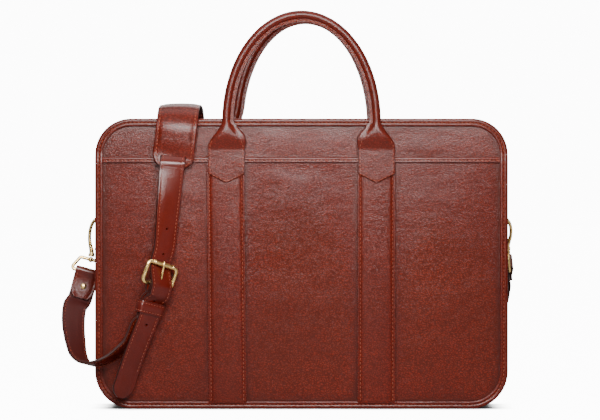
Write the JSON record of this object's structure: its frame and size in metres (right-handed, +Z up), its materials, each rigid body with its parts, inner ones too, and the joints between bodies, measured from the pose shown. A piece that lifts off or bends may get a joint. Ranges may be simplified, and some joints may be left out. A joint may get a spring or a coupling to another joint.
{
  "type": "leather document case",
  "caption": "Zip-top leather document case with a full-width front pocket, rolled top handles and a buckled shoulder strap with a pad.",
  "frame": {"origin": "middle of the case's underside, on the surface it stands on", "axes": "+X to the viewer's right along the case, +Y from the front towards the back, +Z up"},
  "size_m": [0.4577, 0.1478, 0.398],
  "materials": {
    "leather": "pebbled, semi-gloss",
    "leather_edge": "pebbled, semi-gloss",
    "zip_cloth": "woven",
    "brass": "polished"
  },
  "bodies": {
    "case": {"front_panel": "leather", "back_panel": "leather", "front_pocket": "leather", "pocket_binding": "leather_edge", "front_binding": "leather_edge", "back_binding": "leather_edge", "gusset": "leather", "top_gusset_front": "leather", "top_gusset_back": "leather", "front_band_left": "leather", "front_band_right": "leather", "back_band_left": "leather", "back_band_right": "leather", "handle_front": "leather", "handle_back": "leather", "zip_tape_front": "zip_cloth", "zip_tape_back": "zip_cloth", "zip_teeth_front": "brass", "zip_teeth_back": "brass", "zip_slider": "brass", "strap_long": "leather", "strap_short": "leather", "shoulder_pad": "leather", "strap_keeper": "leather", "strap_rivet": "brass", "buckle_frame": "brass", "buckle_prong": "brass", "ring_tab_left": "leather", "ring_tab_right": "leather", "d_ring_left": "brass", "d_ring_right": "brass", "hook_left_ring": "brass", "hook_right": "brass", "hook_right_ring": "brass"},
    "left_hook": {"hook_left": "brass"},
    "left_gate": {"hook_left_gate": "brass"}
  },
  "joints": [
    {"name": "left_hook_swivel", "type": "hinge", "parent": "case", "child": "left_hook", "pos_m": [-0.2134, 0, 0.1503], "axis": [0.139, 0, 0.9903], "range_deg": [-25, 25]},
    {"name": "left_gate_hinge", "type": "hinge", "parent": "left_hook", "child": "left_gate", "pos_m": [-0.2091, 0, 0.1578], "axis": [0, -1, 0], "range_deg": [0, 20], "stiffness_Nm_per_rad": 0.02}
  ]
}
